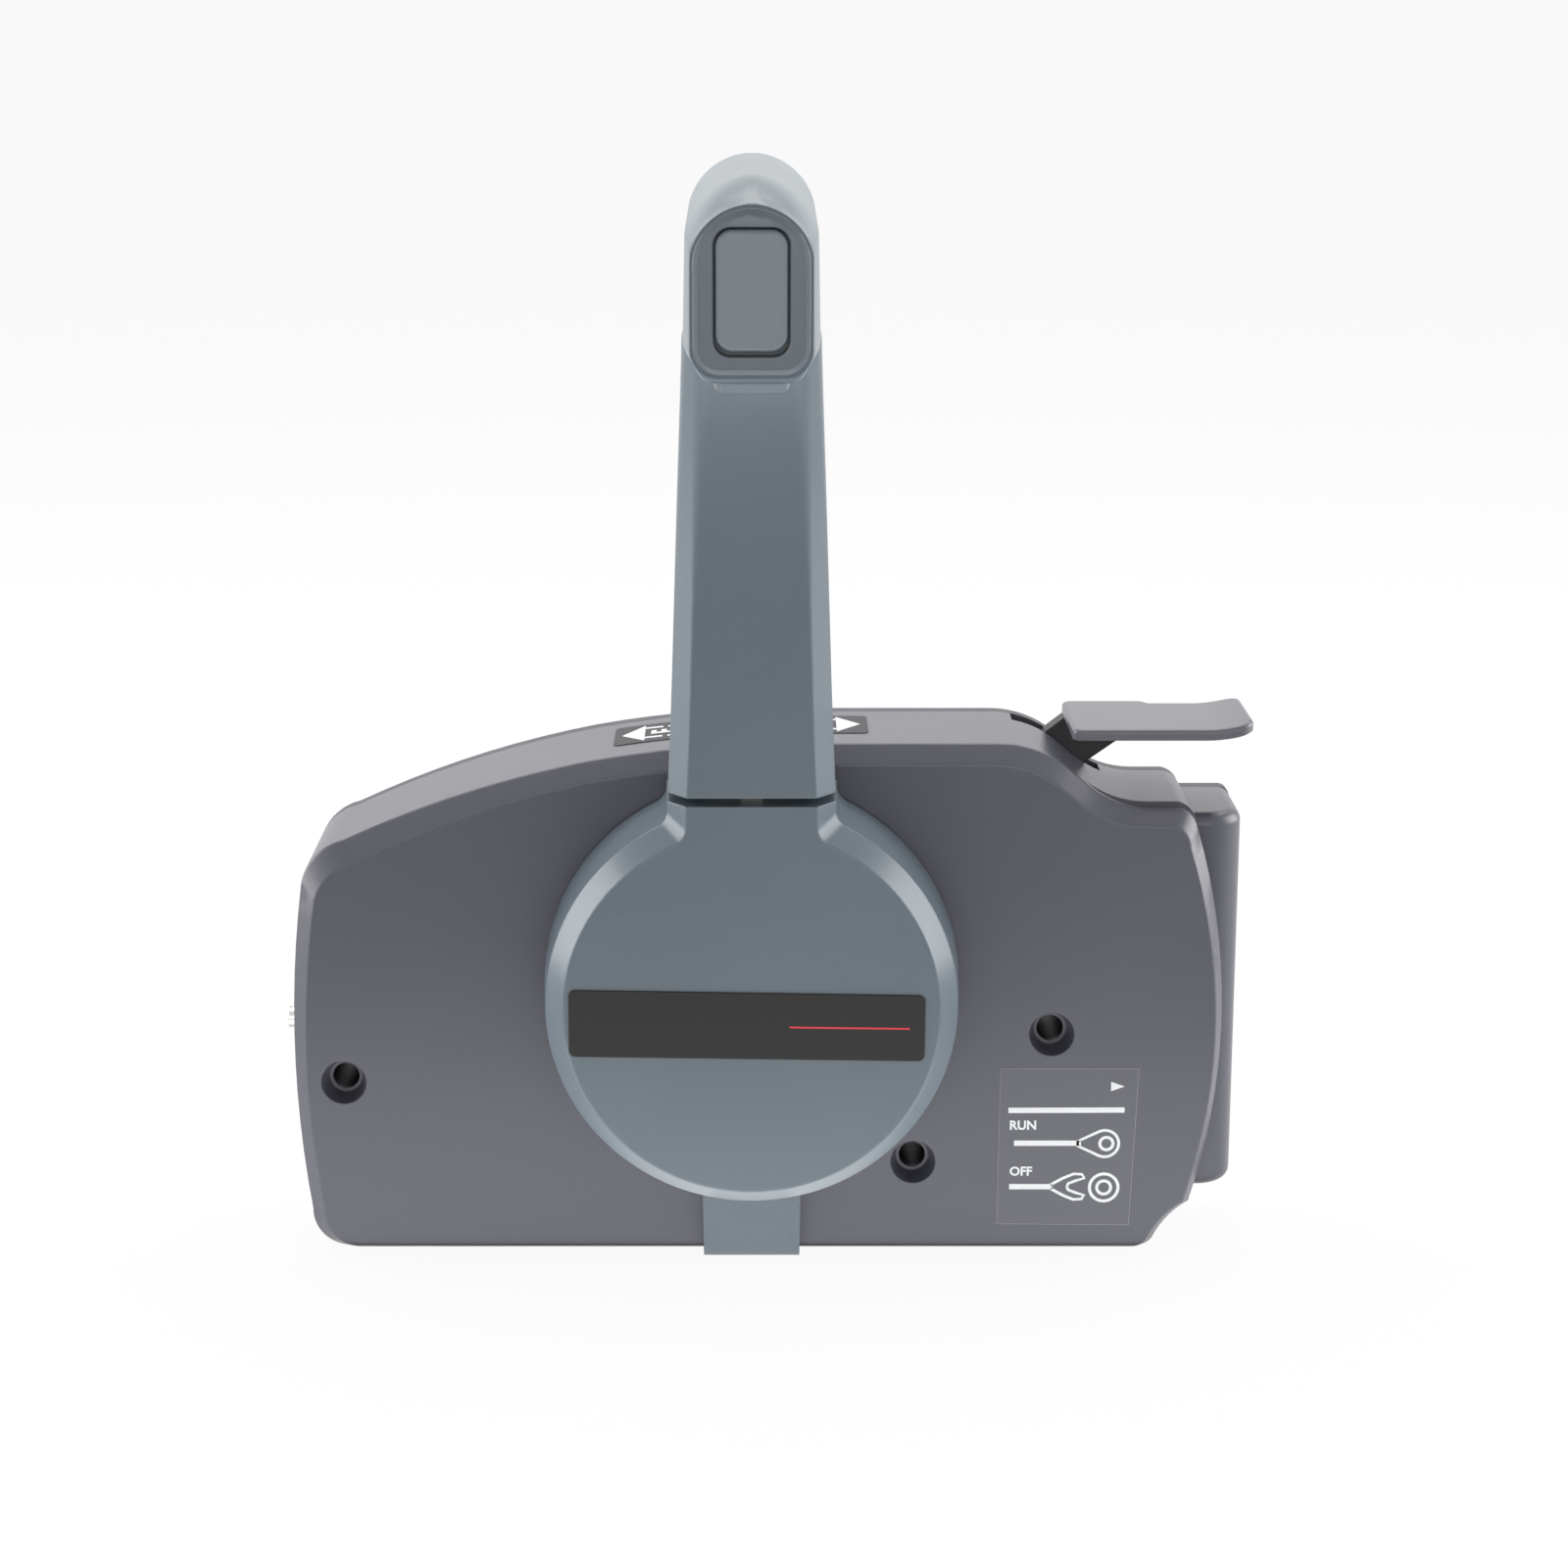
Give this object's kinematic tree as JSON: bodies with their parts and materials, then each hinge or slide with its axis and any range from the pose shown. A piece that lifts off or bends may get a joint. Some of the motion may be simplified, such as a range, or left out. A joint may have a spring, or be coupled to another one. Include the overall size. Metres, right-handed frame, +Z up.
{
  "type": "boat throttle control lever",
  "caption": "Side-mount outboard control box with a shift and throttle lever, trim rocker, neutral trigger, neutral throttle lever, key and stop switches.",
  "frame": {"origin": "on the mounting face of the back plate, where the lever's pivot axis meets it", "axes": "+Z up, +X aft (towards the switch panel), +Y into the bulkhead; the operator looks along +Y"},
  "size_m": [0.2348, 0.13, 0.2674],
  "materials": {
    "housing_plastic": "fine satin moulded grain, dark grey",
    "plate_plastic": "matt moulded grain, dark grey",
    "lever_plastic": "satin moulded plastic, blue grey",
    "bezel_plastic": "satin moulded plastic, dark blue grey",
    "button_plastic": "soft matt plastic, light blue grey",
    "idle_plastic": "satin moulded plastic, mid grey",
    "black_plastic": "matt black",
    "red_plastic": "glossy red",
    "rubber": "matt black",
    "steel": "zinc plated",
    "bright_steel": "bright turned",
    "gear_steel": "sintered, lightly oiled",
    "spring_steel": "spring temper",
    "cast_aluminium": "as cast",
    "chrome_trim": "polished"
  },
  "bodies": {
    "housing": {"housing_shell": "housing_plastic", "back_plate": "plate_plastic", "back_plate_screws": "steel", "mount_sleeves": "steel", "lower_cover": "lever_plastic", "shaft_bush_front": "black_plastic", "shaft_bush_rear": "black_plastic", "neutral_lock_plate": "steel", "shift_pivot_pin": "steel", "shift_pivot_collar": "black_plastic", "throttle_pivot_pin": "steel", "throttle_pivot_collar": "black_plastic", "detent_spring": "spring_steel", "detent_bracket": "cast_aluminium", "friction_spring": "spring_steel", "friction_pusher": "black_plastic", "friction_guide": "black_plastic", "neutral_switch": "black_plastic", "idle_shaft": "steel", "key_switch": "black_plastic", "key_switch_nut": "chrome_trim", "stop_switch": "black_plastic", "stop_switch_nut": "black_plastic", "warning_buzzer": "black_plastic", "harness_grommet": "rubber", "cable_clamps": "black_plastic"},
    "lever": {"control_shaft": "steel", "lever_arm": "cast_aluminium", "lever_bolt": "steel", "lever_washer": "steel", "hub_cover": "lever_plastic", "hub_cover_screws": "steel", "neck_rear_cover": "lever_plastic", "handle": "lever_plastic", "handle_screws": "steel", "grip_bezel": "bezel_plastic", "trim_switch": "black_plastic", "trigger_spring": "spring_steel", "throttle_drive_gear": "gear_steel", "detent_wheel": "gear_steel", "shift_drive_gear": "gear_steel"},
    "trim_button": {"trim_button": "button_plastic"},
    "trigger": {"neutral_trigger": "bezel_plastic", "lock_rod": "steel"},
    "shift_arm": {"shift_arm": "gear_steel", "shift_cable_pin": "steel"},
    "throttle_arm": {"throttle_arm": "gear_steel", "throttle_cable_pin": "steel"},
    "detent_roller": {"detent_roller": "gear_steel"},
    "friction_screw": {"friction_screw": "bright_steel"},
    "switch_plunger": {"neutral_switch_plunger": "red_plastic"},
    "neutral_throttle_lever": {"idle_lever": "idle_plastic", "idle_cam": "gear_steel"},
    "key": {"key_rotor": "bright_steel"},
    "stop_button": {"stop_button": "red_plastic"}
  },
  "joints": [
    {"name": "lever", "type": "hinge", "parent": "housing", "child": "lever", "pos_m": [0, 0, 0], "axis": [0, -1, 0], "range_deg": [-65, 90]},
    {"name": "shift_arm_turn", "type": "hinge", "parent": "housing", "child": "shift_arm", "pos_m": [-0.04751, -0.0292, -0.03327], "axis": [0, -1, 0], "range_deg": [-41, 30]},
    {"name": "throttle_arm_turn", "type": "hinge", "parent": "housing", "child": "throttle_arm", "pos_m": [-0.03637, -0.016, 0.021], "axis": [0, -1, 0], "range_deg": [-68, 49.5]},
    {"name": "neutral_trigger_squeeze", "type": "slide", "parent": "lever", "child": "trigger", "axis": [0, 0, 1], "range_m": [0, 0.005], "stiffness_N_per_m": 400, "springref_m": -0.004, "deforming": ["trigger_spring"]},
    {"name": "trim_rocker", "type": "hinge", "parent": "lever", "child": "trim_button", "pos_m": [0, -0.123, 0.1728], "axis": [1, 0, 0], "range_deg": [-3, 3], "stiffness_Nm_per_rad": 0.5},
    {"name": "neutral_throttle_lift", "type": "hinge", "parent": "housing", "child": "neutral_throttle_lever", "pos_m": [0.0705, -0.0076, 0.0445], "axis": [0, -1, 0], "range_deg": [0, 45]},
    {"name": "key_turn", "type": "hinge", "parent": "housing", "child": "key", "pos_m": [0.1055, -0.016, 0.014], "axis": [1, 0, 0], "range_deg": [0, 90]},
    {"name": "stop_button_press", "type": "slide", "parent": "housing", "child": "stop_button", "axis": [-1, 0, 0], "range_m": [0, 0.003], "stiffness_N_per_m": 500, "springref_m": -0.002},
    {"name": "friction_screw_turn", "type": "hinge", "parent": "housing", "child": "friction_screw", "pos_m": [-0.105, -0.022, -0.0164], "axis": [-1, 0, 0], "range_deg": [-360, 360]},
    {"name": "detent_roller_spin", "type": "hinge", "parent": "housing", "child": "detent_roller", "pos_m": [0, -0.0231, -0.0243], "axis": [0, -1, 0], "continuous": true},
    {"name": "switch_plunger_press", "type": "slide", "parent": "housing", "child": "switch_plunger", "axis": [1, 0, 0], "range_m": [0, 0.0008], "stiffness_N_per_m": 200, "springref_m": -0.002}
  ],
  "couplings": [
    {"joint": "shift_arm_turn", "follows": "lever", "ratio": -0.45},
    {"joint": "throttle_arm_turn", "follows": "lever", "ratio": -0.75}
  ]
}
